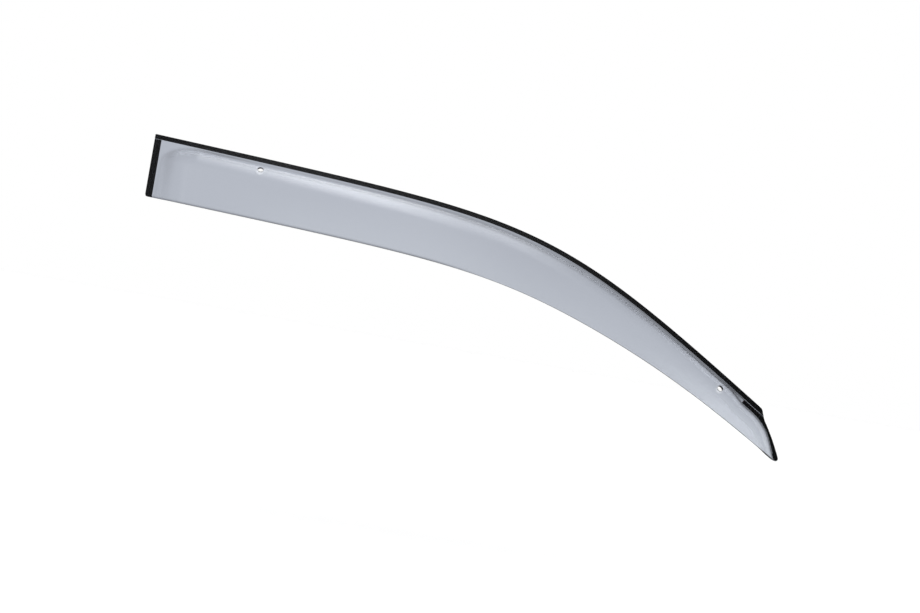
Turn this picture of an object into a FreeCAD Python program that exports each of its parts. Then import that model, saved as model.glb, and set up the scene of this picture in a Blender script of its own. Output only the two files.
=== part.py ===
import FreeCAD, Part
import os
from math import acos, cos, pi, radians, sin, sqrt, tan, tanh

# Window rain deflector for a right-hand front door: one formed sheet of smoked acrylic, stuck to the door frame.
# +X runs forward along the car, +Z is up and -Y is outward. The origin is on the bonding face of the foam tape,
# in the middle of the tape's length and width. Millimetres and degrees.

Vector = FreeCAD.Vector
doc = FreeCAD.newDocument("window_rain_deflector")

# Driving dimensions

dimensions = {
    # the acrylic sheet
    "sheet_thickness": 3.0,
    "bow_radius": 6000.0,  # bonding face seen from above
    # the door line: the sheet's upper edge, which follows the window frame
    "door_line_length": 885.7,
    "rear_slope": 2.72,  # fall of the rear run below the horizontal
    "bend_angle": 29.58,  # extra fall of the pillar run
    "bend_centre": 536.1,  # along the door line from the rear corner
    "bend_spread": 157.0,
    # the outline below the door line
    "rear_width": 82.2,
    "long_taper": 9.2,  # width lost evenly from end to end
    "front_narrowing": 33.5,  # width lost where the pillar run narrows
    "narrowing_centre": 694.1,
    "narrowing_spread": 158.0,
    "rear_edge_lean": 0.1,  # from the vertical
    "front_corner_turn": 37.0,  # from the door line to the short cut at the front corner
    "front_corner_cut": 15.0,
    "front_cut_turn": 29.3,  # from the door line to the front edge
    "front_cut_bulge": 1.7,
    "rear_top_radius": 1.0,
    "rear_bottom_radius": 3.0,
    "front_top_radius": 8.0,
    "tip_radius": 3.5,
    # the flange, from the sheet's edges to the root of the shoulder
    "top_flange": 8.8,
    "rear_flange": 11.5,
    "corner_flange": 12.7,  # top flange where it makes room for the front seal
    "corner_flange_start": 49.0,  # back from the front corner
    "corner_flange_end": 19.0,
    "front_flange_turn": 34.5,
    "front_flange_inset": 1.0,
    "rear_root_corner": 25.0,
    "rear_end_stretch": 1.95,  # the end wall is this much longer than the top wall
    "front_root_corner": 74.0,
    # the shoulder, at the rear end and at the front end
    "rear_rise": 11.0,
    "front_rise": 8.5,
    "rear_wall_angle": 45.0,
    "front_wall_angle": 38.0,
    "rear_root_radius": 9.0,
    "front_root_radius": 3.5,
    "rear_crest_radius": 18.0,
    "front_crest_radius": 14.0,
    "rear_flare": 6.0,  # the blade leans outward below the crest
    "front_flare": 12.0,
    # clip holes, drilled square to the shoulder
    "clip_hole_diameter": 8.0,
    "rear_hole_along": 144.9,
    "rear_hole_below": 16.2,
    "front_hole_back": 59.6,  # from the front corner
    "front_hole_below": 17.8,
    # foam tape and end seals behind the flange
    "bond_clearance": 0.1,
    "tape_thickness": 1.1,
    "tape_width": 6.0,
    "rear_seal_width": 8.8,
    "seal_butt_gap": 0.3,
    "front_seal_gap": 1.0,  # bare sheet between the tape and the front seal
    "front_seal_edge_gap": 0.75,  # bare flange between the front seal and the root
    "front_seal_start": 25.0,  # back from the front corner
    # release liners over the adhesive
    "liner_thickness": 0.15,
    "liner_clearance": 0.05,
}

sizes = doc.addObject("Spreadsheet::Sheet", "Sizes")
for row, (alias, value) in enumerate(dimensions.items(), start=1):
    sizes.set(f"A{row}", alias)
    sizes.set(f"B{row}", str(value))
    sizes.setAlias(f"B{row}", alias)
doc.recompute()


def size(alias):
    return float(sizes.get(alias))


def angle(alias):
    return radians(size(alias))


# The door line: its heading turns smoothly from the rear slope to the pillar slope

length = size("door_line_length")
half_sheet = size("sheet_thickness") / 2
side_margin = 20.0  # blanks are oversize by this much, and trimmed
curve_step = 20.0  # between the points that a long curve is drawn through
bend_step = 5.0  # the same for a short curve


def smooth_turn(x):
    return (1 + tanh(x)) / 2


def heading(s):
    turned = smooth_turn((s - size("bend_centre")) / size("bend_spread"))
    return angle("rear_slope") + angle("bend_angle") * turned


def stations(first, last, step):
    count = max(1, round((last - first) / step))
    return [first + (last - first) * i / count for i in range(count + 1)]


def width(s):
    narrowed = smooth_turn((s - size("narrowing_centre")) / size("narrowing_spread"))
    return size("rear_width") - size("long_taper") * s / length - size("front_narrowing") * narrowed


# Below the short cut at the corner, the front edge is as long as it takes to meet the lower edge

corner_end_s = length + size("front_corner_cut") * cos(angle("front_corner_turn"))
corner_end_w = size("front_corner_cut") * sin(angle("front_corner_turn"))


def front_cut_length():
    turn = angle("front_cut_turn")
    cut = 0.0
    for _ in range(20):
        cut = (width(corner_end_s + cut * cos(turn)) - corner_end_w) / sin(turn)
    return cut


front_cut = front_cut_length()
front_end = corner_end_s + front_cut * cos(angle("front_cut_turn")) + side_margin


def forward(turn):
    return Vector(cos(turn), 0, -sin(turn))


def make_door_line():
    along = stations(-side_margin, front_end, curve_step)
    points = [Vector(0, 0, 0)]
    for start, end in zip(along, along[1:]):
        mid = heading((start + end) / 2)
        a, b = heading(start), heading(end)
        run = (end - start) / 6
        points.append(points[-1] + (forward(a) + forward(mid) * 4 + forward(b)) * run)
    curve = Part.BSplineCurve()
    curve.interpolate(Points=points, Parameters=along)
    return curve


door_line = make_door_line()


def below(s):
    return Vector(-sin(heading(s)), 0, -cos(heading(s)))


middle = door_line.value(length / 2) + below(length / 2) * size("tape_width") / 2


# A point of the side view, s along the door line and w below it

def side_point(s, w):
    return door_line.value(s) + below(s) * w - middle


# The root line of the shoulder: rear, top and front stretches joined by round corners

def smooth_step(x):
    x = min(1.0, max(0.0, x))
    return x * x * (3 - 2 * x)


def top_root(s):
    start = length - size("corner_flange_start")
    run = size("corner_flange_start") - size("corner_flange_end")
    return size("top_flange") + (size("corner_flange") - size("top_flange")) * smooth_step((s - start) / run)


rear_lean = heading(0) + angle("rear_edge_lean")  # of the rear edge, from square to the door line
front_turn = angle("front_flange_turn")


def inside_rear(s, w):
    return (s * cos(rear_lean) - w * sin(rear_lean) - size("rear_flange")) / size("rear_end_stretch")


def inside_front(s, w):
    return (length - s) * sin(front_turn) + w * cos(front_turn) - size("front_flange_inset")


# Distance inside two lines whose corner is rounded, from the distance inside each line

def rounded_inside(a, b, turn, radius):
    deep_a, deep_b = radius - a, radius - b
    c = cos(turn)
    if deep_a > c * deep_b and deep_b > c * deep_a:
        return radius - sqrt(deep_a ** 2 + deep_b ** 2 - 2 * deep_a * deep_b * c) / sin(turn)
    return min(a, b)


def inside_top_and_front(s, w):
    a = w - top_root(s)
    if s < length / 2:
        return a
    return rounded_inside(a, inside_front(s, w), front_turn, size("front_root_corner"))


def inside_root(s, w):
    if s > length / 2:
        return inside_top_and_front(s, w)
    return rounded_inside(w - top_root(s), inside_rear(s, w), pi / 2 + rear_lean, size("rear_root_corner"))


# The shoulder in section: root arc, straight wall and crest arc, which change evenly from rear to front

def from_rear_to_front(name, s):
    share = min(1.0, max(0.0, s / length))
    return size("rear_" + name) * (1 - share) + size("front_" + name) * share


def shoulder_angle(s):
    rise = from_rear_to_front("rise", s)
    radii = from_rear_to_front("root_radius", s) + from_rear_to_front("crest_radius", s)
    steepest = acos(max(0.0, 1 - rise / radii))
    return min(radians(from_rear_to_front("wall_angle", s)), steepest)


# Distances from the root line to the end of the root arc, of the wall and of the crest arc

def shoulder_run(s):
    root = from_rear_to_front("root_radius", s)
    crest = from_rear_to_front("crest_radius", s)
    wall = shoulder_angle(s)
    straight = (from_rear_to_front("rise", s) - (root + crest) * (1 - cos(wall))) / sin(wall)
    root_end = root * sin(wall)
    wall_end = root_end + straight * cos(wall)
    return root_end, wall_end, wall_end + crest * sin(wall)


def shoulder_height(inside, s):
    root = from_rear_to_front("root_radius", s)
    crest = from_rear_to_front("crest_radius", s)
    rise = from_rear_to_front("rise", s)
    wall = shoulder_angle(s)
    root_end, wall_end, crest_end = shoulder_run(s)
    if inside <= 0:
        return 0.0
    if inside < root_end:
        return root - sqrt(root ** 2 - inside ** 2)
    if inside < wall_end:
        return root * (1 - cos(wall)) + (inside - root_end) * tan(wall)
    if inside < crest_end:
        return rise - crest + sqrt(crest ** 2 - (crest_end - inside) ** 2)
    return rise


# How far the sheet stands out of its flange: the shoulder, and the blade's flare below it

def stand_out(s, w):
    height = shoulder_height(inside_root(s, w), s)
    flare = tan(radians(from_rear_to_front("flare", s)))
    return height * (1 + flare * max(0.0, inside_top_and_front(s, w)) / from_rear_to_front("rise", s))


# Depths outward from the bonding face

sheet_back = size("tape_thickness") + size("bond_clearance")


def bowed(x, depth):
    reach = size("bow_radius") + depth
    return size("bow_radius") - sqrt(reach ** 2 - x ** 2)


def middle_surface(s, w):
    point = side_point(s, w)
    point.y = bowed(point.x, sheet_back + half_sheet) - stand_out(s, w)
    return point


def outward(s, w):
    step = 0.01  # either side of the point
    along = middle_surface(s + step, w) - middle_surface(s - step, w)
    across = middle_surface(s, w + step) - middle_surface(s, w - step)
    normal = along.cross(across)
    normal.normalize()
    return normal if normal.y < 0 else -normal


# A cubic surface through a grid of points, whose parameters are s and w

def skin(grid, along, across):
    def poles(points, parameters):
        curve = Part.BSplineCurve()
        curve.interpolate(Points=list(points), Parameters=parameters)
        return curve

    rows = [poles(row, across) for row in grid]
    columns = [poles(column, along) for column in zip(*[row.getPoles() for row in rows])]
    net = [list(line) for line in zip(*[column.getPoles() for column in columns])]
    surface = Part.BSplineSurface()
    surface.buildFromPolesMultsKnots(
        net,
        columns[0].getMultiplicities(),
        rows[0].getMultiplicities(),
        columns[0].getKnots(),
        rows[0].getKnots(),
        False,
        False,
        3,
        3,
    )
    return surface


# The solid between two skins, each cut into panels at the same breaks along and across the sheet

def closed_between(skins, along_breaks, across_breaks):
    faces = []
    for surface in skins:
        for s_first, s_last in zip(along_breaks, along_breaks[1:]):
            for w_first, w_last in zip(across_breaks, across_breaks[1:]):
                panel = surface.copy()
                panel.segment(s_first, s_last, w_first, w_last)
                faces.append(panel.toShape())
    rims = [("uIso", s, across_breaks) for s in (along_breaks[0], along_breaks[-1])]
    rims += [("vIso", w, along_breaks) for w in (across_breaks[0], across_breaks[-1])]
    for iso, at, breaks in rims:
        for first, last in zip(breaks, breaks[1:]):
            edges = []
            for surface in skins:
                curve = getattr(surface, iso)(at)
                curve.segment(first, last)
                edges.append(curve.toShape())
            faces.append(Part.makeRuledSurface(*edges))
    shell = Part.makeShell(faces)
    shell.sewShape()
    solid = Part.makeSolid(shell)
    if solid.Volume < 0:
        solid.reverse()
    return solid


# Grid lines through zones, each given by its end and its spacing, and the zones' limits

def zone_stations(first, zones):
    values, breaks = [first], [first]
    for last, spacing in zones:
        values += stations(values[-1], last, spacing)[1:]
        breaks.append(last)
    return values, breaks


def formed_sheet():
    thirds = 1 / 3, 2 / 3, 1.0
    corner_step, run_step = 4.0, 24.0
    rear_detail = size("rear_flange") + size("rear_root_corner") * size("rear_end_stretch") + corner_step
    front_detail = length - size("corner_flange_start") - 2 * corner_step
    run = front_detail - rear_detail
    zones = [(rear_detail, corner_step)]
    zones += [(rear_detail + run * share, run_step) for share in thirds]
    zones += [(length, corner_step), (front_end, corner_step)]
    along, along_breaks = zone_stations(-side_margin, zones)

    flange_step, profile_step, blade_step = 9.0, 1.8, 14.0
    flange_end = size("top_flange") - profile_step
    crest_end = size("top_flange") + shoulder_run(0)[2]
    profile_end = max(crest_end, width(length)) + 2 * profile_step
    zones = [(flange_end, flange_step)]
    zones += [(flange_end + (crest_end - flange_end) * share, profile_step) for share in thirds]
    zones += [(profile_end, profile_step), (size("rear_width") + side_margin, blade_step)]
    across, across_breaks = zone_stations(-side_margin, zones)

    outer, inner = [], []
    for s in along:
        middles = [middle_surface(s, w) for w in across]
        normals = [outward(s, w) * half_sheet for w in across]
        outer.append([p + n for p, n in zip(middles, normals)])
        inner.append([p - n for p, n in zip(middles, normals)])
    skins = [skin(grid, along, across) for grid in (outer, inner)]
    return closed_between(skins, along_breaks, across_breaks)


# Small helpers for the document's objects

def shape_object(name, shape):
    feature = doc.addObject("Part::Feature", name)
    feature.Shape = shape
    return feature


def curve_below(first, last, w_of_s, step=curve_step):
    along = stations(first, last, step)
    curve = Part.BSplineCurve()
    curve.interpolate(Points=[side_point(s, w_of_s(s)) for s in along], Parameters=along)
    return curve


trim_reach = 60.0  # the cutting prisms run this far each way from the bonding face


def prism(name, edges):
    face = shape_object(name + "_outline", Part.Face(Part.Wire(Part.__sortEdges__(edges))))
    block = doc.addObject("Part::Extrusion", name)
    block.Base = face
    block.DirMode = "Custom"
    block.Dir = Vector(0, 1, 0)
    block.LengthFwd = trim_reach
    block.LengthRev = trim_reach
    block.Solid = True
    return block


def tube(name, inner_depth, outer_depth):
    cylinders = []
    for side, depth in ("outer", outer_depth), ("inner", inner_depth):
        cylinder = doc.addObject("Part::Cylinder", f"{name}_{side}")
        cylinder.setExpression("Radius", f"Sizes.bow_radius + {depth}")
        cylinder.Height = 2 * length
        cylinder.Placement.Base = Vector(0, size("bow_radius"), -length)
        cylinders.append(cylinder)
    cut = doc.addObject("Part::Cut", name)
    cut.Base, cut.Tool = cylinders
    return cut


def common(name, shapes):
    feature = doc.addObject("Part::MultiCommon", name)
    feature.Shapes = shapes
    return feature


# The sheet's outline in the side view, with its four corners rounded

def sheet_outline():
    lower = curve_below(-side_margin, front_end, width)
    rear_top = side_point(0, 0)
    front_top = side_point(length, 0)
    rear_way = Vector(sin(angle("rear_edge_lean")), 0, -cos(angle("rear_edge_lean")))
    corner_way = forward(heading(length) + angle("front_corner_turn"))
    corner_end = front_top + corner_way * size("front_corner_cut")
    cut_heading = heading(length) + angle("front_cut_turn")
    half_cut = forward(cut_heading) * front_cut / 2
    bulge = forward(cut_heading - pi / 2) * size("front_cut_bulge")
    bow = Part.Circle(corner_end, corner_end + half_cut + bulge, corner_end + half_cut * 2)
    bow_end = bow.parameter(corner_end + half_cut * 2) + side_margin / bow.Radius
    front = Part.ArcOfCircle(bow, bow.parameter(corner_end), bow_end)
    rear = Part.LineSegment(rear_top, rear_top + rear_way * (size("rear_width") + side_margin))
    rear_bottom = lower.intersectCC(rear)[0].toShape().Point
    tip = lower.intersectCC(front)[0].toShape().Point
    corners = [
        (rear_top, size("rear_top_radius")),
        (front_top, size("front_top_radius")),
        (tip, size("tip_radius")),
        (rear_bottom, size("rear_bottom_radius")),
    ]
    top = curve_below(0, length, lambda s: 0.0)
    edges = [
        top.toShape(),
        Part.LineSegment(front_top, corner_end).toShape(),
        front.toShape(front.parameter(corner_end), front.parameter(tip)),
        lower.toShape(lower.parameter(rear_bottom), lower.parameter(tip)),
        Part.LineSegment(rear_top, rear_bottom).toShape(),
    ]
    return edges, corners


def rounded_prism(name, edges, corners):
    near = 0.01
    block = prism(name, edges)
    doc.recompute()
    rounding = []
    for number, edge in enumerate(block.Shape.Edges, start=1):
        ends = [vertex.Point for vertex in edge.Vertexes]
        if len(ends) != 2 or abs(ends[0].y - ends[1].y) < trim_reach:
            continue
        for corner, radius in corners:
            if abs(ends[0].x - corner.x) < near and abs(ends[0].z - corner.z) < near:
                rounding.append((number, radius, radius))
    rounded = doc.addObject("Part::Fillet", name + "_rounded")
    rounded.Base = block
    rounded.Edges = rounding
    return rounded


sheet_trim = rounded_prism("sheet_trim", *sheet_outline())

# The acrylic shield: formed, trimmed and drilled

formed = shape_object("formed_sheet", formed_sheet())
trimmed = common("trimmed_sheet", [formed, sheet_trim])


def clip_drill(name, s, w):
    drill = doc.addObject("Part::Cylinder", name)
    drill.setExpression("Radius", "Sizes.clip_hole_diameter / 2")
    drill.setExpression("Height", "Sizes.sheet_thickness * 4")
    way = outward(s, w)
    start = middle_surface(s, w) - way * size("sheet_thickness") * 2
    drill.Placement = FreeCAD.Placement(start, FreeCAD.Rotation(Vector(0, 0, 1), way))
    return drill


drills = doc.addObject("Part::MultiFuse", "clip_drills")
drills.Shapes = [
    clip_drill("rear_clip_drill", size("rear_hole_along"), size("rear_hole_below")),
    clip_drill("front_clip_drill", length - size("front_hole_back"), size("front_hole_below")),
]
shield = doc.addObject("Part::Cut", "shield")
shield.Base = trimmed
shield.Tool = drills

# Foam strips behind the flange, cut from a tube whose wall is the foam, and their release liners

foam = tube("foam_wall", "0", "Sizes.tape_thickness")
liner = tube("liner_wall", "(-Sizes.liner_clearance - Sizes.liner_thickness)", "(-Sizes.liner_clearance)")


def closed_band(upper, lower):
    joins = [
        Part.LineSegment(upper.StartPoint, lower.StartPoint).toShape(),
        Part.LineSegment(upper.EndPoint, lower.EndPoint).toShape(),
    ]
    return [upper.toShape(), lower.toShape(), *joins]


def tape_edges():
    upper = curve_below(-side_margin, length + side_margin, lambda s: -side_margin)
    lower = curve_below(-side_margin, length + side_margin, lambda s: size("tape_width"))
    return closed_band(upper, lower)


def rear_seal_edges():
    top = size("tape_width") + size("seal_butt_gap")
    bottom = size("rear_width") + side_margin

    def rear_offset(w, inset):
        return side_point((inset + w * sin(rear_lean)) / cos(rear_lean), w)

    corners = [rear_offset(w, inset) for w, inset in (
        (top, -side_margin), (top, size("rear_seal_width")), (bottom, size("rear_seal_width")), (bottom, -side_margin))]
    return Part.makePolygon(corners + corners[:1]).Edges


def front_seal_edges():
    start = length - size("front_seal_start")
    gap = size("front_seal_edge_gap")
    radius = size("front_root_corner") + gap
    flat = size("corner_flange") - gap
    inset = size("front_flange_inset") - gap
    corner_s = length + (flat * cos(front_turn) - inset) / sin(front_turn)
    bend_start = corner_s - radius * tan(front_turn / 2)
    upper = curve_below(start, front_end, lambda s: size("tape_width") + size("front_seal_gap"), bend_step)
    path = [(s, top_root(s) - gap) for s in stations(start, bend_start, bend_step)]
    for turn in stations(0.0, front_turn, bend_step / radius)[1:]:
        path.append((bend_start + radius * sin(turn), flat + radius * (1 - cos(turn))))
    last_s, last_w = path[-1]
    path.append((front_end, last_w + (front_end - last_s) * tan(front_turn)))
    lower = Part.BSplineCurve()
    lower.interpolate([side_point(s, w) for s, w in path])
    return closed_band(upper, lower)


tape_trim = prism("tape_trim", tape_edges())
rear_trim = prism("rear_seal_trim", rear_seal_edges())
front_trim = prism("front_seal_trim", front_seal_edges())
parts = [shield]
for name, trim in ("flange_tape", tape_trim), ("rear_seal", rear_trim), ("front_seal", front_trim):
    parts.append(common(name, [foam, trim, sheet_trim]))
    parts.append(common(name + "_liner", [liner, trim, sheet_trim]))

doc.recompute()

# Checks, then one file for each piece

for item in doc.Objects:
    if "Invalid" in item.State or "Error" in item.State:
        raise RuntimeError(f"{item.Name} did not build: {item.State}")
for part in parts:
    if part.Shape.isNull() or not part.Shape.isValid():
        raise RuntimeError(f"{part.Label} has no valid shape")

os.makedirs("parts", exist_ok=True)
for part in parts:
    part.Shape.exportStep(f"parts/{part.Label}.step")
    box = part.Shape.optimalBoundingBox(False)
    print(f"{part.Label}: {len(part.Shape.Solids)} solid, {part.Shape.Volume / 1000:.2f} cm3,"
          f" {box.XLength:.1f} x {box.YLength:.1f} x {box.ZLength:.1f} mm")
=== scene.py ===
import math

import bpy
from mathutils import Matrix, Vector


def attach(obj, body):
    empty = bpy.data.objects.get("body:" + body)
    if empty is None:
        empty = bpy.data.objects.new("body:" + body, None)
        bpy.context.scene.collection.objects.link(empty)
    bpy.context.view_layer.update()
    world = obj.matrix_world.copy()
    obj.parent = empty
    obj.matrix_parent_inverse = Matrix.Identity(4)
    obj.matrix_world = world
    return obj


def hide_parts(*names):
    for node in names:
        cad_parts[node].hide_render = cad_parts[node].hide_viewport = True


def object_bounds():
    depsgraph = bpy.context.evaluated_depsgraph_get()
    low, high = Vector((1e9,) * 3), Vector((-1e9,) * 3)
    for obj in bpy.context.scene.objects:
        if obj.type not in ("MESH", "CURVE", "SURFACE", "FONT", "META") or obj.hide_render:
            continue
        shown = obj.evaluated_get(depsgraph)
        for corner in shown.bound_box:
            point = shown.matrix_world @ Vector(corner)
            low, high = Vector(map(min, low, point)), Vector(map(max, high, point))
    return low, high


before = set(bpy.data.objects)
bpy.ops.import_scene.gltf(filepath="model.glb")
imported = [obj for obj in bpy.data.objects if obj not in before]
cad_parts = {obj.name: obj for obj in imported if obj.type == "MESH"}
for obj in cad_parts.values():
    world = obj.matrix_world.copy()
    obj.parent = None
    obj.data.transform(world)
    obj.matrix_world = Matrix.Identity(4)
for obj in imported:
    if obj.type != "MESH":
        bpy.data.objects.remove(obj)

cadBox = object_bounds()
bpy.context.scene.view_settings.view_transform = "Standard"

# The formed sheet, in millimetres and degrees, with the sizes of the CAD part.
# s runs along the door line from the rear corner, w is the distance below it.
sheet = {
    "thickness": 3.0,
    "backDepth": 1.2,  # back of the flange, outward from the bonding face
    "bowRadius": 6000.0,
    "doorLine": 885.7,
    "doorLineDrawn": (-30, 1020),  # past both ends of the sheet
    "rearSlope": 2.72,
    "bendAngle": 29.58,
    "bendCentre": 536.1,
    "bendSpread": 157.0,
    "rearWidth": 82.2,
    "longTaper": 9.2,
    "frontNarrowing": 33.5,
    "narrowingCentre": 694.1,
    "narrowingSpread": 158.0,
    "rearEdgeLean": 0.1,
    "cornerTurn": 37.0,  # the short cut at the front corner
    "cornerCut": 15.0,
    "frontCutTurn": 29.3,
    "frontCutBulge": 1.7,
    "cornerRadii": {"rearTop": 1.0, "rearBottom": 3.0, "frontTop": 8.0, "tip": 3.5},
    "cornerReach": 5.0,  # how far from a corner the way of an edge is read
    "tipReach": 10.0,
    "tipBow": 0.82,  # the same, as a share of the bow
    "topFlange": 8.8,
    "rearFlange": 11.5,
    "cornerFlange": 12.7,
    "cornerFlangeStart": 49.0,
    "cornerFlangeEnd": 19.0,
    "frontFlangeTurn": 34.5,
    "frontFlangeInset": 1.0,
    "rearRootCorner": 25.0,
    "rearEndStretch": 1.95,
    "frontRootCorner": 74.0,
    "rise": (11.0, 8.5),  # at the rear end and at the front end
    "wallAngle": (45.0, 38.0),
    "rootRadius": (9.0, 3.5),
    "crestRadius": (18.0, 14.0),
    "flare": (6.0, 12.0),
    "holeRadius": 4.0,
    "holes": ((144.9, 16.2), (826.1, 17.8)),
    "edgeRound": 0.2,
}
settleRounds = 24  # in which a place that depends on itself settles
tiny = 1e-6  # millimetres


def smoothTurn(x):
    return (1 + math.tanh(x)) / 2


def heading(s):
    turned = smoothTurn((s - sheet["bendCentre"]) / sheet["bendSpread"])
    return math.radians(sheet["rearSlope"] + sheet["bendAngle"] * turned)


# Points of the door line, a millimetre apart
def doorLinePoints(first, last):
    points = {0: Vector((0, 0))}
    for step, stations in (1, range(0, last)), (-1, range(0, first, -1)):
        for s in stations:
            turn = heading(s + step / 2)
            points[s + step] = points[s] + step * Vector((math.cos(turn), -math.sin(turn)))
    return points


doorLine = doorLinePoints(*sheet["doorLineDrawn"])
doorLength = sheet["doorLine"]


# A place on the sheet as it lies in the side view
def sideOf(s, w):
    low = math.floor(s)
    onLine = doorLine[low].lerp(doorLine[low + 1], s - low)
    turn = heading(s)
    return onLine - w * Vector((math.sin(turn), math.cos(turn)))


def widthAt(s):
    narrowed = smoothTurn((s - sheet["narrowingCentre"]) / sheet["narrowingSpread"])
    return sheet["rearWidth"] - sheet["longTaper"] * s / doorLength - sheet["frontNarrowing"] * narrowed


def upTo(share):
    return min(1, max(0, share))


# The flange's depth along the door line. It widens smoothly near the front corner.
def topRoot(s):
    start = doorLength - sheet["cornerFlangeStart"]
    share = upTo((s - start) / (sheet["cornerFlangeStart"] - sheet["cornerFlangeEnd"]))
    widened = sheet["cornerFlange"] - sheet["topFlange"]
    return sheet["topFlange"] + widened * share * share * (3 - 2 * share)


rearLean = heading(0) + math.radians(sheet["rearEdgeLean"])
frontTurn = math.radians(sheet["frontFlangeTurn"])
cutTurn = math.radians(sheet["frontCutTurn"])
cornerTurn = math.radians(sheet["cornerTurn"])
cornerWay = Vector((math.cos(cornerTurn), math.sin(cornerTurn)))
cornerEnd = Vector((doorLength, 0)) + sheet["cornerCut"] * cornerWay


# Distance in from two lines that meet at a turn, with the corner between them rounded
def alongRoundedCorner(a, b, turn, radius):
    deepA, deepB, c = radius - a, radius - b, math.cos(turn)
    if deepA > c * deepB and deepB > c * deepA:
        return radius - math.sqrt(deepA ** 2 + deepB ** 2 - 2 * deepA * deepB * c) / math.sin(turn)
    return min(a, b)


# Distance in from the root line along the top and the front edge
def insideTopAndFront(s, w):
    fromTop = w - topRoot(s)
    if s < doorLength / 2:
        return fromTop
    fromFront = (doorLength - s) * math.sin(frontTurn) + w * math.cos(frontTurn) - sheet["frontFlangeInset"]
    return alongRoundedCorner(fromTop, fromFront, frontTurn, sheet["frontRootCorner"])


# And along the rear edge too
def insideRoot(s, w):
    if s > doorLength / 2:
        return insideTopAndFront(s, w)
    fromRear = s * math.cos(rearLean) - w * math.sin(rearLean) - sheet["rearFlange"]
    fromRear = fromRear / sheet["rearEndStretch"]  # the end wall rises more slowly than the shoulder
    return alongRoundedCorner(w - topRoot(s), fromRear, math.pi / 2 + rearLean, sheet["rearRootCorner"])


# A size that passes from its value at the rear end to its value at the front end
def between(name, s):
    share = upTo(s / doorLength)
    return sheet[name][0] * (1 - share) + sheet[name][1] * share


# Distances in from the root line to the end of the root arc, of the wall and of the crest arc
def shoulderRun(s):
    root, crest, rise = between("rootRadius", s), between("crestRadius", s), between("rise", s)
    wall = math.radians(between("wallAngle", s))
    straight = (rise - (root + crest) * (1 - math.cos(wall))) / math.sin(wall)
    rootEnd = root * math.sin(wall)
    wallEnd = rootEnd + straight * math.cos(wall)
    return rootEnd, wallEnd, wallEnd + crest * math.sin(wall)


def shoulderHeight(inside, s):
    root, crest, rise = between("rootRadius", s), between("crestRadius", s), between("rise", s)
    wall = math.radians(between("wallAngle", s))
    rootEnd, wallEnd, crestEnd = shoulderRun(s)
    if inside <= 0:
        return 0
    if inside < rootEnd:
        return root - math.sqrt(root ** 2 - inside ** 2)
    if inside < wallEnd:
        return root * (1 - math.cos(wall)) + (inside - rootEnd) * math.tan(wall)
    if inside < crestEnd:
        return rise - crest + math.sqrt(crest ** 2 - (crestEnd - inside) ** 2)
    return rise


def standOut(s, w):
    flare = math.tan(math.radians(between("flare", s))) * max(0, insideTopAndFront(s, w))
    return shoulderHeight(insideRoot(s, w), s) * (1 + flare / between("rise", s))


tapeWidth = 6.0  # the frame's origin is in the middle of the tape
sideOrigin = sideOf(doorLength / 2, tapeWidth / 2)


# A point in metres, at a depth outward from the bowed bonding face
def placeAt(s, w, depth):
    side = sideOf(s, w) - sideOrigin
    reach = sheet["bowRadius"] + depth
    return Vector((side.x, sheet["bowRadius"] - math.sqrt(reach ** 2 - side.x ** 2), side.y)) / 1000


# A point of the sheet's middle surface
def sheetPoint(s, w):
    return placeAt(s, w, sheet["backDepth"] + sheet["thickness"] / 2) - Vector((0, standOut(s, w) / 1000, 0))


# The front edge: a short cut at the corner, then a bow to the tip
def cutLength():
    cut = 0.0
    for _ in range(settleRounds):
        cut = (widthAt(cornerEnd.x + cut * math.cos(cutTurn)) - cornerEnd.y) / math.sin(cutTurn)
    return cut


frontCut = cutLength()


def onBow(share):
    bulge = 4 * sheet["frontCutBulge"] * share * (1 - share)
    way = Vector((math.cos(cutTurn), math.sin(cutTurn)))
    return cornerEnd + share * frontCut * way + bulge * Vector((way.y, -way.x))


def frontEdge(w):
    if w < cornerEnd.y:
        return doorLength + w / math.tan(cornerTurn)
    bend = 4 * sheet["frontCutBulge"] * math.cos(cutTurn)
    rise = frontCut * math.sin(cutTurn) - bend
    share = (math.sqrt(rise ** 2 + 4 * bend * (w - cornerEnd.y)) - rise) / (2 * bend)
    return onBow(share).x


# The sheet's net. Its rows follow the door line, the root line, the crest and the lower edge.
net = {
    # end and count of each stretch of columns
    "columnZones": ((1, 1), (75, 80), (131, 30), (159, 18), (741, 280), (857, 72), (885.7, 24)),
    "flangeRows": 8,
    "shoulderRows": 24,
    "bladeRows": 16,
    "holeRing": 4,  # net lines from a hole's middle to its rim
    "holeBlock": 9,  # and to where the net is square again
    "holeBlend": 1.25,  # the higher, the longer the rings stay round
    "edgeSegments": 3,
}


def columnShares():
    shares, start = [0.0], 0.0
    for end, count in net["columnZones"]:
        shares += [(start + (end - start) * i / count) / doorLength for i in range(1, count + 1)]
        start = end
    return shares


shares = columnShares()
rowCount = net["flangeRows"] + net["shoulderRows"] + net["bladeRows"]


def rowBelow(row, s):
    if row <= net["flangeRows"]:
        return topRoot(s) * row / net["flangeRows"]
    crest = topRoot(s) + shoulderRun(s)[2]
    row -= net["flangeRows"]
    if row <= net["shoulderRows"]:
        return topRoot(s) + (crest - topRoot(s)) * row / net["shoulderRows"]
    return crest + (widthAt(s) - crest) * (row - net["shoulderRows"]) / net["bladeRows"]


# Place on the sheet of a column and a row, which may lie between two lines
def netPlace(column, row):
    low = min(int(column), len(shares) - 2)
    share = shares[low] + (shares[low + 1] - shares[low]) * (column - low)
    s = share * doorLength
    for _ in range(settleRounds):
        w = rowBelow(row, s)
        rear = w * math.tan(rearLean)
        s = rear + share * (frontEdge(w) - rear)
    return Vector((s, rowBelow(row, s)))


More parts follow.
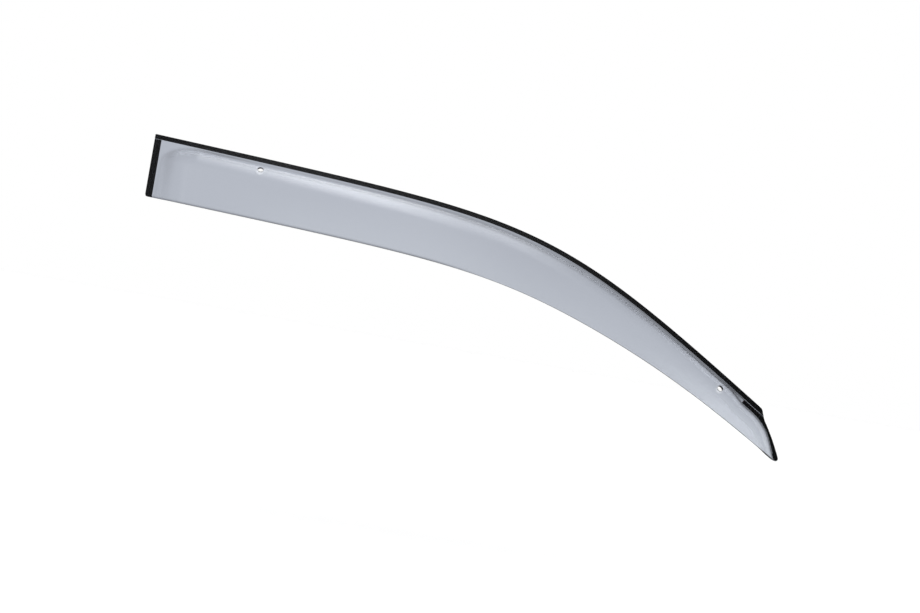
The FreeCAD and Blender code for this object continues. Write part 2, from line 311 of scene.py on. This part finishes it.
# Draws the net round each hole, so that one ring of it is the hole's rim
def ringedHoles(places):
    inHole = set()
    for s, w in sheet["holes"]:
        column, row = min(places, key=lambda at: (places[at] - Vector((s, w))).length)
        tilt = math.cos(math.radians(between("wallAngle", s)))
        block, ring = net["holeBlock"], net["holeRing"]
        moved = {}
        for i in range(-block, block + 1):
            for j in range(-block, block + 1):
                far = max(abs(i), abs(j))
                if far == 0:
                    continue
                turn = math.atan2(j, i)
                rim = Vector((s, w)) + sheet["holeRadius"] * Vector((math.cos(turn), math.sin(turn) * tilt))
                out = netPlace(column + block * i / far, row + block * j / far)
                share = max(0.0, (far - ring) / (block - ring))
                moved[column + i, row + j] = rim.lerp(out, share ** net["holeBlend"])
                if far < ring:
                    inHole.add((column + i, row + j))
        inHole.add((column, row))
        places.update(moved)
    return inHole


# Rounds one corner of a net: both edges run away from it in straight lines
def roundCorner(places, corner, firstWay, secondWay, radius):
    first, second = firstWay.normalized(), secondWay.normalized()
    halfAngle = first.angle(second) / 2
    reach = radius / math.tan(halfAngle)
    centre = corner + (first + second).normalized() * radius / math.sin(halfAngle)
    inner = corner + reach * (first + second)
    span = Matrix((first, second)).transposed().inverted()
    startArm, endArm = corner + second * reach - centre, corner + first * reach - centre
    sweep = startArm.angle_signed(endArm)
    for at, place in places.items():
        a, b = span @ (place - corner)
        ring = max(reach - a, reach - b) / reach
        if a > reach - tiny or b > reach - tiny or ring < tiny:
            continue
        onEdgeA, onEdgeB = reach - (reach - a) / ring, reach - (reach - b) / ring
        share = (1 + (onEdgeA - onEdgeB) / reach) / 2
        arm = Matrix.Rotation(-sweep * share, 2) @ startArm
        places[at] = inner + ring * (centre + arm - inner)


# Each corner of the outline, and a point on each of the two edges that leave it
def outlineCorners():
    def lower(s):
        return Vector((s, widthAt(s)))

    rearBottom = 0.0
    for _ in range(settleRounds):
        rearBottom = widthAt(rearBottom) * math.tan(rearLean)
    tip, reach = onBow(1), sheet["cornerReach"]
    return {
        "rearTop": (Vector((0, 0)), Vector((reach, 0)), Vector((reach * math.tan(rearLean), reach))),
        "rearBottom": (lower(rearBottom), lower(rearBottom + reach), Vector((0, 0))),
        "frontTop": (Vector((doorLength, 0)), Vector((doorLength - reach, 0)), cornerEnd),
        "tip": (tip, lower(tip.x - sheet["tipReach"]), onBow(sheet["tipBow"])),
    }


corners = outlineCorners()


def roundOutline(places):
    for name, (corner, onFirst, onSecond) in corners.items():
        roundCorner(places, corner, onFirst - corner, onSecond - corner, sheet["cornerRadii"][name])


# The foam strips and their release films, as nets on the same outline
strips = {
    "rearWidth": 8.8,
    "rearGap": 0.3,  # between the tape and the rear seal
    "frontGap": 1.0,  # between the tape and the front seal
    "frontStart": 25.0,  # back from the front corner
    "frontEdgeGap": 0.75,  # between the front seal and the root line
    "searchAbove": 3.0,  # the seal's inner edge is looked for from here above the flange's root
    "searchTo": 60.0,  # to here below the door line
    "searchHalvings": 40,
    "edgeStep": 0.75,  # between the points of that edge
    "bowPoints": 40,
    "foam": (0.0, 1.1),  # depths outward from the bonding face
    "film": (-0.2, -0.05),
    "foamRound": 0.12,
    "foamSegments": 2,
}


def tapeNet(columns, rows):
    places = {}
    for i in range(columns + 1):
        for j in range(rows + 1):
            w = tapeWidth * j / rows
            rear = w * math.tan(rearLean)
            places[i, j] = Vector((rear + (frontEdge(w) - rear) * i / columns, w))
    return places


def rearNet(columns, rows):
    top = tapeWidth + strips["rearGap"]
    places = {}
    for i in range(columns + 1):
        for j in range(rows + 1):
            s = 0.0
            for _ in range(settleRounds):
                w = top + (widthAt(s) - top) * j / rows
                s = (strips["rearWidth"] * i / columns + w * math.sin(rearLean)) / math.cos(rearLean)
            places[i, j] = Vector((s, w))
    return places


# Points at even distances along a path
def evenly(path, count):
    run = [0.0]
    for a, b in zip(path, path[1:]):
        run.append(run[-1] + (b - a).length)
    spread, k = [], 0
    for i in range(count + 1):
        at = run[-1] * i / count
        while k < len(path) - 2 and run[k + 1] < at:
            k += 1
        spread.append(path[k].lerp(path[k + 1], (at - run[k]) / (run[k + 1] - run[k])))
    return spread


# The front seal's inner edge follows the root line
def sealInnerEdge(s):
    low, high = topRoot(s) - strips["searchAbove"], strips["searchTo"]
    for _ in range(strips["searchHalvings"]):
        middle = (low + high) / 2
        if insideTopAndFront(s, middle) > -strips["frontEdgeGap"]:
            high = middle
        else:
            low = middle
    return low


# The front seal lies between the front edge and its inner edge
def frontNet(columns, rows):
    start = doorLength - strips["frontStart"]
    top = tapeWidth + strips["frontGap"]
    outer = [Vector((start, top)), Vector((frontEdge(top), top)), cornerEnd.copy()]
    outer += [onBow((i + 1) / strips["bowPoints"]) for i in range(strips["bowPoints"])]
    inner, s = [], start
    while sealInnerEdge(s) <= widthAt(s):
        inner.append(Vector((s, sealInnerEdge(s))))
        s += strips["edgeStep"]
    pairs = zip(evenly(outer, columns), evenly(inner, columns))
    return {(i, j): a.lerp(b, j / rows) for i, (a, b) in enumerate(pairs) for j in range(rows + 1)}


# Each strip's net, its columns and rows, and the CAD node of its foam
stripNets = {
    "Tape": (tapeNet, 420, 6, "flange_tape"),
    "RearSeal": (rearNet, 8, 60, "rear_seal"),
    "FrontSeal": (frontNet, 80, 6, "front_seal"),
}


# What the clip holes mark on the sheet for its materials, and where painted light goes below each hole
holeMarks = {
    "wallReach": 1.05,  # times the radius, up to where a point is on a hole's wall
    "paintedLightDrop": 1.8,  # the painted light patch's middle below the hole's
    "paintedLightInner": -0.5,  # the painted light fades from here to there, counted from the radius
    "paintedLightOuter": 1.0,
}


# How far down a clip hole's wall a point is: -1 at its top, 1 at its foot, 0 away from the holes
def holeSide(s, w):
    for holeS, holeW in sheet["holes"]:
        if math.hypot(s - holeS, w - holeW) < holeMarks["wallReach"] * sheet["holeRadius"]:
            return (w - holeW) / sheet["holeRadius"]
    return 0.0


# 1 where painted light below a clip hole stands in for its lit lower wall seen through the sheet, 0 beyond
# it
def paintedLightBelowHole(s, w):
    far = min(math.hypot(s - holeS, w - holeW - holeMarks["paintedLightDrop"]) for holeS, holeW in sheet["holes"])
    outside = holeMarks["paintedLightOuter"] - (far - sheet["holeRadius"])
    return upTo(outside / (holeMarks["paintedLightOuter"] - holeMarks["paintedLightInner"]))


def selectNothing():
    bpy.ops.object.select_all(action="DESELECT")


# A grid primitive whose vertices go to the places of a net
def gridFromNet(name, places, columns, rows, pointOf):
    selectNothing()
    bpy.ops.mesh.primitive_grid_add(x_subdivisions=columns, y_subdivisions=rows, size=2)
    piece = bpy.context.object
    piece.name = piece.data.name = name
    piece.data.attributes.new("sheetPlace", "FLOAT_VECTOR", "POINT")
    piece.data.attributes.new("sheetMarks", "FLOAT_VECTOR", "POINT")
    placed, marked = piece.data.attributes["sheetPlace"], piece.data.attributes["sheetMarks"]
    atVertex = []
    for vertex in piece.data.vertices:
        at = round((vertex.co.x + 1) / 2 * columns), round((1 - vertex.co.y) / 2 * rows)
        atVertex.append(at)
        s, w = places[at]
        vertex.co = pointOf(s, w)
        placed.data[vertex.index].vector = s, w, insideRoot(s, w)
        marked.data[vertex.index].vector = widthAt(s) - w, holeSide(s, w), paintedLightBelowHole(s, w)
    if sum(face.normal.y * face.area for face in piece.data.polygons) > 0:  # the outer face looks to -Y
        piece.data.flip_normals()
    return piece, atVertex


sharpFrom = 50.0  # degrees between two faces, from which their edge is rounded


def thicken(piece, thickness, roundness, segments):
    solidify = piece.modifiers.new("thickness", "SOLIDIFY")
    solidify.thickness = thickness / 1000
    solidify.offset = 0
    solidify.use_even_offset = True
    solidify.use_quality_normals = True
    solidify.material_offset_rim = 1
    if segments:
        bevel = piece.modifiers.new("rounded edges", "BEVEL")
        bevel.width = roundness / 1000
        bevel.segments = segments
        bevel.limit_method = "ANGLE"
        bevel.angle_limit = math.radians(sharpFrom)
        bevel.harden_normals = True


def finishPiece(piece, materials, node):
    for material in materials:
        piece.data.materials.append(material)
    selectNothing()
    piece.select_set(True)
    bpy.context.view_layer.objects.active = piece
    bpy.ops.object.shade_smooth()
    for modifier in [m.name for m in piece.modifiers]:
        bpy.ops.object.modifier_apply(modifier=modifier)
    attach(piece, "root")
    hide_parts(node)
    print(piece.name, "made:", len(piece.data.polygons), "faces")


def makeShield():
    columns = len(shares) - 1
    places = {(i, j): netPlace(i, j) for i in range(columns + 1) for j in range(rowCount + 1)}
    inHole = ringedHoles(places)
    roundOutline(places)
    shield, atVertex = gridFromNet("acrylicShield", places, columns, rowCount, sheetPoint)
    bpy.ops.object.mode_set(mode="EDIT")
    bpy.ops.mesh.select_mode(type="VERT")
    bpy.ops.mesh.select_all(action="DESELECT")
    bpy.ops.object.mode_set(mode="OBJECT")
    for vertex, at in zip(shield.data.vertices, atVertex):
        vertex.select = at in inHole
    bpy.ops.object.mode_set(mode="EDIT")
    bpy.ops.mesh.delete(type="VERT")
    bpy.ops.object.mode_set(mode="OBJECT")
    thicken(shield, sheet["thickness"], sheet["edgeRound"], net["edgeSegments"])
    return shield


# The layer is foam or film, the strip one of stripNets
def makeStrip(layer, strip, segments=0):
    makeNet, columns, rows, _ = stripNets[strip]
    places = makeNet(columns, rows)
    roundOutline(places)
    near, far = strips[layer]
    made, _ = gridFromNet(layer + strip, places, columns, rows, lambda s, w: placeAt(s, w, (near + far) / 2))
    thicken(made, far - near, strips["foamRound"], segments)
    return made


# Shader maths: a socket with Python's operators
class Signal:
    def __init__(self, tree, socket):
        self.tree, self.socket = tree, socket

    def maths(self, operation, *values):
        made = addNode(self.tree, "ShaderNodeMath", {"operation": operation}, dict(enumerate(values)))
        return Signal(self.tree, made.outputs[0])

    def __add__(self, other):
        return self.maths("ADD", self, other)

    def __radd__(self, other):
        return self.maths("ADD", other, self)

    def __sub__(self, other):
        return self.maths("SUBTRACT", self, other)

    def __rsub__(self, other):
        return self.maths("SUBTRACT", other, self)

    def __mul__(self, other):
        return self.maths("MULTIPLY", self, other)

    def __rmul__(self, other):
        return self.maths("MULTIPLY", other, self)

    def __truediv__(self, other):
        return self.maths("DIVIDE", self, other)

    def __pow__(self, power):
        return self.maths("POWER", self, power)

    def least(self, other):
        return self.maths("MINIMUM", self, other)

    def most(self, other):
        return self.maths("MAXIMUM", self, other)

    def bell(self, middle, spread):
        far = (self - middle) / spread
        return self.maths("EXPONENT", -1.0 * (far * far))

    def ramp(self, start, end):  # from 0 at the start to 1 at the end, either way round
        return ((self - start) / (end - start)).most(0.0).least(1.0)


def addNode(tree, kind, settings=None, sockets=None):
    made = tree.nodes.new(kind)
    for name, value in (settings or {}).items():
        setattr(made, name, value)
    for key, value in (sockets or {}).items():
        if isinstance(value, Signal):
            tree.links.new(value.socket, made.inputs[key])
        else:
            made.inputs[key].default_value = value
    return made


class Surface:
    def __init__(self, name, constants):
        self.material = bpy.data.materials.new(name)
        self.material.use_nodes = True
        self.tree = self.material.node_tree
        self.shader = self.tree.nodes["Principled BSDF"]
        for key, value in constants.items():
            self.shader.inputs[key].default_value = value

    def output(self, kind, output, settings=None, **sockets):
        named = {key.replace("_", " "): value for key, value in sockets.items()}
        return Signal(self.tree, addNode(self.tree, kind, settings, named).outputs[output])

    def place(self):
        return self.output("ShaderNodeTexCoord", "Object")

    def split(self, vector):
        made = addNode(self.tree, "ShaderNodeSeparateXYZ", sockets={"Vector": vector})
        return [Signal(self.tree, made.outputs[i]) for i in range(3)]

    def marks(self, name):
        return self.split(self.output("ShaderNodeAttribute", "Vector", {"attribute_name": name}))

    def noise(self, scale, detail=2.0, stretch=(1, 1, 1)):
        spot = self.output("ShaderNodeMapping", "Vector", Vector=self.place(), Scale=stretch)
        return self.output("ShaderNodeTexNoise", 0, Vector=spot, Scale=scale, Detail=detail)

    def cells(self, scale):
        settings = {"feature": "F1"}
        return self.output("ShaderNodeTexVoronoi", "Distance", settings, Vector=self.place(), Scale=scale)

    def mixed(self, share, first, second):  # 6, 7 and output 2 are the Mix node's colours
        made = addNode(self.tree, "ShaderNodeMix", {"data_type": "RGBA"}, {0: share, 6: first, 7: second})
        return Signal(self.tree, made.outputs[2])

    def feed(self, **signals):
        for key, signal in signals.items():
            self.tree.links.new(signal.socket, self.shader.inputs[key.replace("_", " ")])

    def bump(self, height, distance):
        self.feed(Normal=self.output("ShaderNodeBump", "Normal", Height=height, Distance=distance))


# How much of a zone there is at a place. A zone is its most, its ramps and its bells, all multiplied:
# each ramp has the name of a measure and where it starts and ends, each bell its middle and spread.
def zoneShare(zone, place):
    share, ramps, bells = zone
    for name, start, end in ramps:
        share = share * place[name].ramp(start, end)
    for name, middle, spread in bells:
        share = share * place[name].bell(middle, spread)
    return share


# Smoked acrylic: see-through, with painted shade along the root of the shoulder, more so towards the front,
# and painted light below the clip holes
acrylic = {
    "clear": (0.475, 0.505, 0.57, 1),
    "deep": (0.445, 0.473, 0.535, 1),  # darker around the bend
    "paintedPale": (0.565, 0.6, 0.665, 1),  # and painted light, paler towards the front and near the lower edge
    # the colour of the painted shade
    "dark": (0.11, 0.116, 0.13, 1),
    # painted light: the colour below the clip holes and on their lower walls
    "paintedLight": (0.75, 0.78, 0.83, 1),
    "index": 1.49,
    "gloss": 0.07,
    "smears": (0.02, 60.0),  # how much rougher, and how fine
    "mottle": (0.04, 9.0, 3.0),  # how much darker, how fine and its detail
    "wave": (0.00004, 14.0, 1.0),  # how high in metres, how fine and its detail
    "paintedHoleLight": 0.8,  # how much of the painted light colour shows below a clip hole
}

# The sheet's zones of other tints, of painted light and of painted shade. Their measures are millimetres
# along the door line from the rear corner, below that line, inside the root line, and up from the lower
# edge.
tints = {
    "bend": (1.0, (), [("along", 540.0, 130.0)]),
    "paintedPaleFront": (1.0, [("along", 640.0, 840.0), ("up", 30.0, 10.0)], ()),
    "paintedPaleBelow": (0.35, [("along", 100.0, 200.0), ("up", 45.0, 5.0)], ()),
    "dullCorner": (0.3, (), [("along", 62.0, 40.0), ("inside", 3.0, 5.0)]),  # against a glint
}
# painted shade: along the root of the shoulder, beside the tape, on the flange, on the rear end wall and
# corner, and along the lower edge
paintedShades = {
    "root": (0.45, [("along", 180.0, 420.0), ("along", 780.0, 680.0)], [("inside", 3.0, 3.2)]),
    "frontRoot": (0.38, [("along", 680.0, 780.0)], [("inside", 1.2, 2.5)]),
    "rootLine": (0.12, (), [("inside", 0.6, 1.3)]),
    "frontRootLine": (0.45, [("along", 560.0, 820.0)], [("inside", 0.6, 1.3)]),
    # painted shade beside the tape, which makes the tape look wider towards the front
    "besideTape": (0.6, [("along", 500.0, 640.0)], [("below", 7.0, 0.8)]),
    "rearRoot": (0.45, (), [("along", 85.0, 40.0), ("inside", -0.5, 1.9)]),
    "flange": (0.18, [("along", 60.0, 160.0), ("inside", 1.5, -1.0)], ()),
    "frontFlange": (0.4, [("along", 810.0, 850.0), ("inside", 1.5, -1.0)], [("below", 8.0, 3.0)]),
    "rearWall": (0.05, [("inside", 0.0, 3.0)], [("along", 25.0, 9.0)]),
    "upperRearWall": (0.15, [("inside", 0.0, 3.0), ("up", 0.0, 50.0)], [("along", 25.0, 9.0)]),
    "rearCorner": (0.13, [("up", 40.0, 60.0)], [("along", 26.0, 14.0), ("inside", 2.0, 3.0)]),
    "lowerEdge": (0.7, [("along", 480.0, 400.0)], [("up", 0.0, 1.9)]),
}


def smokedAcrylic():
    look = Surface("smokedAcrylic", {"Transmission Weight": 1.0, "IOR": acrylic["index"]})
    along, below, inside = look.marks("sheetPlace")
    up, _, paintedHoleLight = look.marks("sheetMarks")
    place = {"along": along, "below": below, "inside": inside, "up": up}
    bend, paintedPaleFront, paintedPaleBelow, dull = (zoneShare(zone, place) for zone in tints.values())
    body = look.mixed(bend, acrylic["clear"], acrylic["deep"])
    # painted light: paler towards the front and near the lower edge
    body = look.mixed(paintedPaleFront.most(paintedPaleBelow), body, acrylic["paintedPale"])
    # mottle at random, then the painted shade of each zone
    darker, *mottle = acrylic["mottle"]
    mottleAndPaintedShade = darker * (look.noise(*mottle) - 0.5)
    for zone in paintedShades.values():
        mottleAndPaintedShade = mottleAndPaintedShade + zoneShare(zone, place)
    withPaintedShade = look.mixed(mottleAndPaintedShade.most(0.0).least(1.0), body, acrylic["dark"])
    rougher, smears = acrylic["smears"]
    # painted light below each clip hole goes into the base colour
    look.feed(
        Base_Color=look.mixed(acrylic["paintedHoleLight"] * paintedHoleLight, withPaintedShade, acrylic["paintedLight"]),
        Roughness=acrylic["gloss"] + rougher * look.noise(smears) + dull,
    )
    height, *wave = acrylic["wave"]
    look.bump(look.noise(*wave), height)
    return look.material


# The cut edges are dark, but for the lower wall of each clip hole, which has a light colour as a painted
# highlight
cutLook = {
    "dark": (0.035, 0.036, 0.042, 1),
    "scratch": (0.0245, 0.0252, 0.0294, 1),
    "scratches": (900.0, 2.0, (0.1, 1, 1)),  # how fine, their detail, and drawn out along X
    "depth": 0.00003,
    "rough": (0.3, 0.25),  # and how much rougher in a scratch
    "paintedLight": (0.0, 0.5),  # painted light, from here to there down the hole's wall
}


def cutAcrylic():
    look = Surface("cutAcrylic", {"Transmission Weight": 1.0, "IOR": acrylic["index"]})
    scratches = look.noise(*cutLook["scratches"])
    edge = look.mixed(scratches, cutLook["dark"], cutLook["scratch"])
    holeWall = look.marks("sheetMarks")[1]
    rough, rougher = cutLook["rough"]
    look.feed(
        Base_Color=look.mixed(holeWall.ramp(*cutLook["paintedLight"]), edge, acrylic["paintedLight"]),
        Roughness=rough + rougher * scratches,
    )
    look.bump(scratches, cutLook["depth"])
    return look.material


foamLook = {
    "dark": (0.007, 0.007, 0.008, 1),
    "light": (0.017, 0.017, 0.019, 1),
    "cells": 2200.0,  # in a metre
    "cellShare": 0.6,
    "wear": (120.0, 3.0),  # how fine and its detail
    "wearShare": 0.5,
    "rough": (0.82, 0.14),  # and how much rougher where worn
    "depth": 0.00003,
}


def blackFoam():
    look = Surface("blackFoam", {"Specular IOR Level": 0.25})
    cell = look.cells(foamLook["cells"])
    worn = look.noise(*foamLook["wear"])
    dark = foamLook["cellShare"] * cell + foamLook["wearShare"] * worn
    rough, rougher = foamLook["rough"]
    look.feed(
        Base_Color=look.mixed(dark.least(1.0), foamLook["light"], foamLook["dark"]),
        Roughness=rough + rougher * worn,
    )
    look.bump(cell + foamLook["wearShare"] * worn, foamLook["depth"])
    return look.material


filmLook = {
    "red": (0.50, 0.025, 0.022, 1),
    "deep": (0.34, 0.012, 0.012, 1),
    "creases": (45.0, 4.0, (1, 1, 3)),  # how fine, their detail, and drawn together along Z
    "creaseFrom": (0.35, 0.65),
    "creaseDepth": 0.00006,
    "grain": (420.0, 2.0),
    "grainShare": 0.2,
    "rough": (0.24, 0.16),
}


def releaseFilm():
    look = Surface("releaseFilm", {"Specular IOR Level": 0.5, "Coat Roughness": 0.2})
    crease = look.noise(*filmLook["creases"])
    grain = look.noise(*filmLook["grain"])
    rough, rougher = filmLook["rough"]
    look.feed(
        Base_Color=look.mixed(crease.ramp(*filmLook["creaseFrom"]), filmLook["red"], filmLook["deep"]),
        Roughness=rough + rougher * grain,
    )
    look.bump(crease + filmLook["grainShare"] * grain, filmLook["creaseDepth"])
    return look.material


acrylicFace, acrylicEdge = smokedAcrylic(), cutAcrylic()
foam, film = blackFoam(), releaseFilm()
print("materials made")

finishPiece(makeShield(), [acrylicFace, acrylicEdge], "shield")
for strip, (_, _, _, node) in stripNets.items():
    finishPiece(makeStrip("foam", strip, strips["foamSegments"]), [foam, foam], node)
    finishPiece(makeStrip("film", strip), [film, film], node + "_liner")

# Floor, light and camera
stage = {
    "floorBelow": 0.14,
    "floorSize": 14.0,
    "floorBack": 5.0,  # its middle lies behind the part, so the sheet doesn't mirror it
    "floorColour": (0.965, 0.965, 0.965, 1),
    "floorRough": 0.9,
    "cameraDistance": 3.32,
    "lens": 100.0,
    "aim": (-0.01116, -0.11816),  # the camera's x and z
    "roll": 10.0,
}

selectNothing()
floorHeight = cadBox[0].z - stage["floorBelow"]
bpy.ops.mesh.primitive_plane_add(size=stage["floorSize"], location=(0, stage["floorBack"], floorHeight))
floor = bpy.context.object
floor.name = "floor"
floorLook = Surface("paleFloor", {"Base Color": stage["floorColour"], "Roughness": stage["floorRough"]})
floor.data.materials.append(floorLook.material)

# Seen straight or through the sheet, all round is plain white. What is mirrored or scattered comes from a
# bright wall behind, which is brighter still above, dimmer surroundings in front and two strips overhead.
# A direction goes across to the front of the car, deep behind the part, and up. Zones are as for the sheet.
light = {
    "white": 1.0,
    "behind": (1.0, [("deep", 0.45, 0.7)], ()),
    "above": (3.4, [("up", 0.3, 0.6)], ()),  # for the floor, and not mirrored in the sheet
    "front": 0.3,
    "frontFall": 0.8,  # the front darkens from the rear end of the part to its tip
    "frontLeast": 0.06,
    "dimmer": (
        (0.8, [("up", 0.35, 0.7)], ()),
        (0.8, [("across", -0.4, -0.65)], ()),
        (0.65, [("across", -0.18, -0.26), ("up", 0.18, 0.05)], ()),
    ),
    "strips": ((3.7, (), [("across", -0.02, 0.10)]), (2.0, (), [("across", 0.20, 0.17)])),
    "stripRise": (0.15, 1.0),  # from level to straight up
    "stripFade": 1.4,
}


def studioWorld():
    world = bpy.data.worlds.new("studio")
    bpy.context.scene.world = world
    world.use_nodes = True
    tree = world.node_tree
    view = addNode(tree, "ShaderNodeTexCoord")
    direction = Signal(tree, view.outputs["Generated"])
    split = addNode(tree, "ShaderNodeSeparateXYZ", sockets={"Vector": direction})
    across, deep, up = (Signal(tree, split.outputs[i]) for i in range(3))
    way = {"across": across, "deep": deep, "up": up}
    path = addNode(tree, "ShaderNodeLightPath")
    names = "Is Camera Ray", "Is Transmission Ray", "Glossy Depth", "Diffuse Depth"
    direct, through, mirrored, scattered = (Signal(tree, path.outputs[name]) for name in names)
    behind = zoneShare(light["behind"], way)
    back = light["white"] * (1 + zoneShare(light["above"], way) * (1 - mirrored.least(1.0)))
    ahead = (light["front"] - light["frontFall"] * across).most(light["frontLeast"])
    for zone in light["dimmer"]:
        ahead = ahead * (1 - zoneShare(zone, way))
    first, second = (zoneShare(zone, way) for zone in light["strips"])
    overhead = (first + second) * up.ramp(*light["stripRise"]) ** light["stripFade"]
    strength = back * behind + ahead * (1 - behind) + overhead
    direct = direct.most(through * (1 - (mirrored + scattered).least(1.0)))  # straight, or through the sheet
    seen = light["white"] * direct + (1 - direct) * strength
    tree.links.new(seen.socket, tree.nodes["Background"].inputs["Strength"])
    tree.nodes["Background"].inputs["Color"].default_value = (1, 1, 1, 1)


studioWorld()

camera = bpy.data.objects.new("camera", bpy.data.cameras.new("camera"))
bpy.context.scene.collection.objects.link(camera)
bpy.context.scene.camera = camera
camera.data.lens = stage["lens"]
camera.location = (stage["aim"][0], -stage["cameraDistance"], stage["aim"][1])
roll = math.radians(stage["roll"])
right, up = Vector((math.cos(roll), 0, math.sin(roll))), Vector((-math.sin(roll), 0, math.cos(roll)))
camera.rotation_euler = Matrix((right, up, right.cross(up))).transposed().to_euler()
print("stage set")
